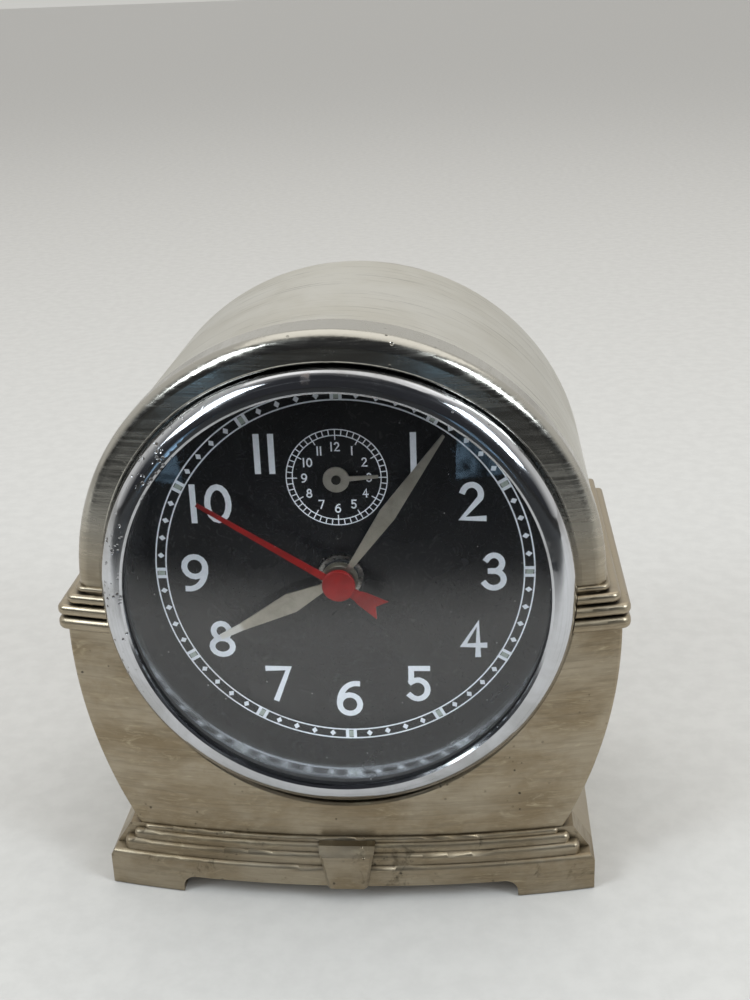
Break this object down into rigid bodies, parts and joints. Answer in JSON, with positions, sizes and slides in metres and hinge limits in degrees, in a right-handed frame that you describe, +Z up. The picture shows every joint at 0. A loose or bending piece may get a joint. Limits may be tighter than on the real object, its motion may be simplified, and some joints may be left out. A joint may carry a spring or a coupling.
{
  "type": "mantel alarm clock",
  "caption": "Mantel alarm clock with a round glazed dial in an arched metal case on a stepped plinth, with hour, minute, second and alarm hands.",
  "frame": {"origin": "midway across the width and the depth, on the surface that the feet stand on", "axes": "+Z up, the dial faces -Y, +X to the viewer's right; the case is symmetric about X = 0"},
  "size_m": [0.1236, 0.08, 0.1302],
  "materials": {
    "case_nickel": "satin champagne nickel plate",
    "drum_nickel": "satin pale nickel plate",
    "pad_rubber": "matt",
    "bezel_chrome": "polished, lightly pitted",
    "lens_glass": "clear, polished",
    "gasket_rubber": "matt",
    "reflector_chrome": "polished",
    "dial_black": "satin black",
    "screw_steel": "zinc plated",
    "nut_nickel": "nickel plated",
    "movement_plastic": "moulded, fine grain",
    "plate_plastic": "moulded",
    "board": "phenolic board",
    "buzzer_brass": "lacquered",
    "iron": "soft iron",
    "copper_wire": "enamelled copper winding",
    "battery_jacket": "printed film jacket, plain",
    "contact_steel": "nickel plated spring steel",
    "wheel_plastic": "acetal",
    "pipe_brass": "turned",
    "magnet": "bonded magnet",
    "hand_nickel": "satin warm nickel",
    "collet_nickel": "polished nickel",
    "second_red": "satin red enamel",
    "knob_plastic": "moulded",
    "switch_plastic": "moulded",
    "cover_plastic": "moulded, fine grain"
  },
  "bodies": {
    "case": {"front_casting": "case_nickel", "case_shell": "drum_nickel", "foot_pads": "pad_rubber", "bezel": "bezel_chrome", "lens": "lens_glass", "lens_gasket": "gasket_rubber", "reflector_ring": "reflector_chrome", "dial": "dial_black", "dial_screws": "screw_steel", "movement_washer": "gasket_rubber", "fixing_nut": "nut_nickel", "movement_front_housing": "movement_plastic", "middle_plate": "plate_plastic", "movement_rear_housing": "movement_plastic", "circuit_board": "board", "buzzer": "buzzer_brass", "stator": "iron", "coil": "copper_wire", "battery": "battery_jacket", "contact_positive": "contact_steel", "contact_negative": "contact_steel", "back_cover": "cover_plastic", "cover_screws": "screw_steel"},
    "minute_set": {"minute_pipe": "pipe_brass", "minute_hand": "hand_nickel", "minute_collet": "collet_nickel"},
    "hour_set": {"hour_wheel": "wheel_plastic", "hour_hand": "hand_nickel", "hour_collet": "collet_nickel"},
    "motion_set": {"motion_wheel": "wheel_plastic", "time_set_knob": "knob_plastic"},
    "alarm_trip": {"alarm_trip_wheel": "wheel_plastic"},
    "second_set": {"second_wheel": "wheel_plastic", "second_hand": "second_red"},
    "third": {"third_wheel": "wheel_plastic"},
    "centre": {"centre_wheel": "wheel_plastic"},
    "intermediate": {"intermediate_wheel": "wheel_plastic"},
    "rotor_body": {"rotor": "magnet"},
    "alarm_set": {"alarm_arbor": "pipe_brass", "alarm_hand": "hand_nickel", "alarm_set_knob": "knob_plastic"},
    "switch": {"alarm_switch": "switch_plastic"}
  },
  "joints": [
    {"name": "minute_hand_turn", "type": "hinge", "parent": "case", "child": "minute_set", "pos_m": [0, -0.0222, 0.0736], "axis": [0, 1, 0], "continuous": true},
    {"name": "hour_hand_turn", "type": "hinge", "parent": "case", "child": "hour_set", "pos_m": [0, -0.0222, 0.0736], "axis": [0, 1, 0], "continuous": true},
    {"name": "time_set_knob_turn", "type": "hinge", "parent": "case", "child": "motion_set", "pos_m": [-0.01301, -0.0222, 0.07834], "axis": [0, 1, 0], "continuous": true},
    {"name": "alarm_trip_turn", "type": "hinge", "parent": "case", "child": "alarm_trip", "pos_m": [0, -0.0222, 0.09575], "axis": [0, 1, 0], "continuous": true},
    {"name": "second_hand_turn", "type": "hinge", "parent": "case", "child": "second_set", "pos_m": [0, -0.0222, 0.0736], "axis": [0, 1, 0], "continuous": true},
    {"name": "third_wheel_turn", "type": "hinge", "parent": "case", "child": "third", "pos_m": [0.01165, -0.0222, 0.07784], "axis": [0, 1, 0], "continuous": true},
    {"name": "centre_wheel_turn", "type": "hinge", "parent": "case", "child": "centre", "pos_m": [0, -0.0222, 0.0736], "axis": [0, 1, 0], "continuous": true},
    {"name": "intermediate_wheel_turn", "type": "hinge", "parent": "case", "child": "intermediate", "pos_m": [-0.00335, -0.0222, 0.08281], "axis": [0, 1, 0], "continuous": true},
    {"name": "rotor_turn", "type": "hinge", "parent": "case", "child": "rotor_body", "pos_m": [-0.01063, -0.0222, 0.08701], "axis": [0, 1, 0], "continuous": true},
    {"name": "alarm_set_turn", "type": "hinge", "parent": "case", "child": "alarm_set", "pos_m": [0, -0.0222, 0.09575], "axis": [0, 1, 0], "continuous": true},
    {"name": "alarm_switch_slide", "type": "slide", "parent": "case", "child": "switch", "axis": [1, 0, 0], "range_m": [0, 0.004]}
  ],
  "couplings": [
    {"joint": "hour_hand_turn", "follows": "minute_hand_turn", "ratio": 0.083333},
    {"joint": "time_set_knob_turn", "follows": "minute_hand_turn", "ratio": -0.33333},
    {"joint": "alarm_trip_turn", "follows": "minute_hand_turn", "ratio": -0.083333},
    {"joint": "third_wheel_turn", "follows": "second_hand_turn", "ratio": -0.13333},
    {"joint": "centre_wheel_turn", "follows": "second_hand_turn", "ratio": 0.016667},
    {"joint": "intermediate_wheel_turn", "follows": "second_hand_turn", "ratio": -6},
    {"joint": "rotor_turn", "follows": "second_hand_turn", "ratio": 30}
  ]
}
